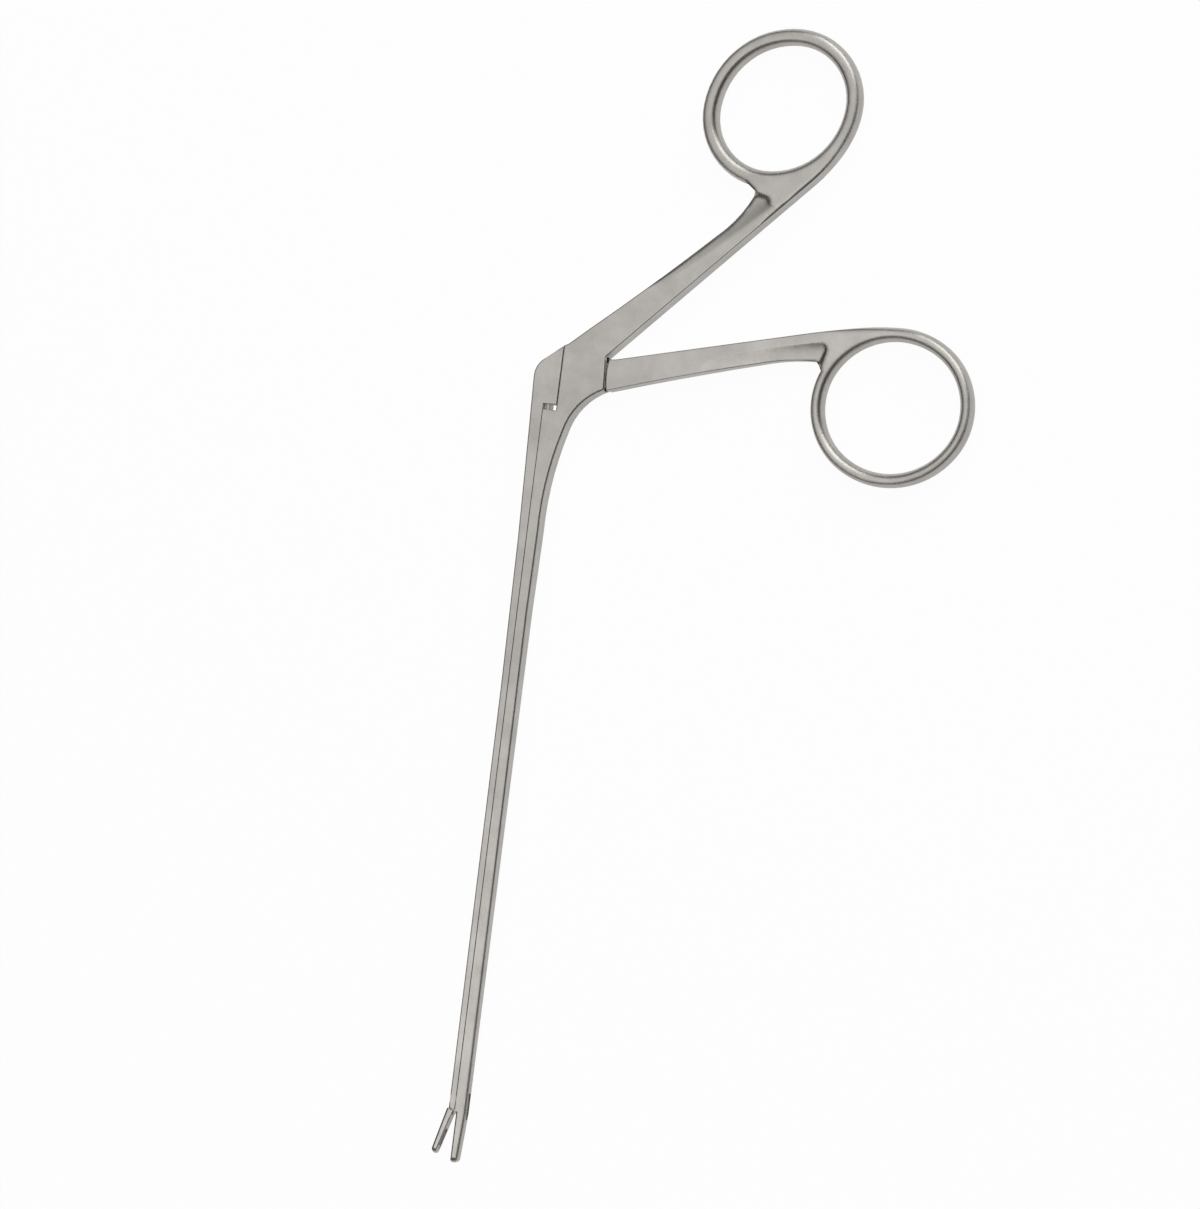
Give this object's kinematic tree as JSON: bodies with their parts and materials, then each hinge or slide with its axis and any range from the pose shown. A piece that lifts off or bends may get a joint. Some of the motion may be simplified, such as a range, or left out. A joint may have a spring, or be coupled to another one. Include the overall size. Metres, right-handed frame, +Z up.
{
  "type": "disc rongeur",
  "caption": "Ring-handled surgical disc punch: squeezing the front lever slides the upper shaft along the fixed one and shuts a small cup jaw on its fellow.",
  "frame": {"origin": "the lever's pivot axis on the hub's lower flat face, the face it lies on", "axes": "+X along the slide from the jaws towards the handles, +Y from the hub towards the slide, +Z up out of the flat side"},
  "size_m": [0.2233, 0.0884, 0.0042],
  "materials": {
    "satin_steel": "satin, lightly brushed stainless steel",
    "pin_steel": "ground flush with the faces around it"
  },
  "bodies": {
    "frame_body": {"frame": "satin_steel", "lever_pivot_pin": "pin_steel", "jaw_pivot_pin": "pin_steel"},
    "slide_body": {"drive_slide": "satin_steel", "slide_drive_pin": "pin_steel", "jaw_link_pin": "pin_steel"},
    "lever_body": {"finger_lever": "satin_steel"},
    "jaw_body": {"cup_jaw": "satin_steel"}
  },
  "joints": [
    {"name": "lever_pivot", "type": "hinge", "parent": "frame_body", "child": "lever_body", "pos_m": [0, 0, 0.0021], "axis": [0, 0, 1], "range_deg": [0, 5.2]},
    {"name": "slide_run", "type": "slide", "parent": "frame_body", "child": "slide_body", "axis": [-1, 0, 0], "range_m": [0, 0.000545]},
    {"name": "jaw_pivot", "type": "hinge", "parent": "frame_body", "child": "jaw_body", "pos_m": [-0.1413, 0.00612, 0.0021], "axis": [0, 0, 1], "range_deg": [0, 16.5]}
  ],
  "couplings": [
    {"joint": "slide_run", "follows": "lever_pivot", "m_per_rad": 0.006003},
    {"joint": "jaw_pivot", "follows": "lever_pivot", "ratio": 3.1714}
  ]
}
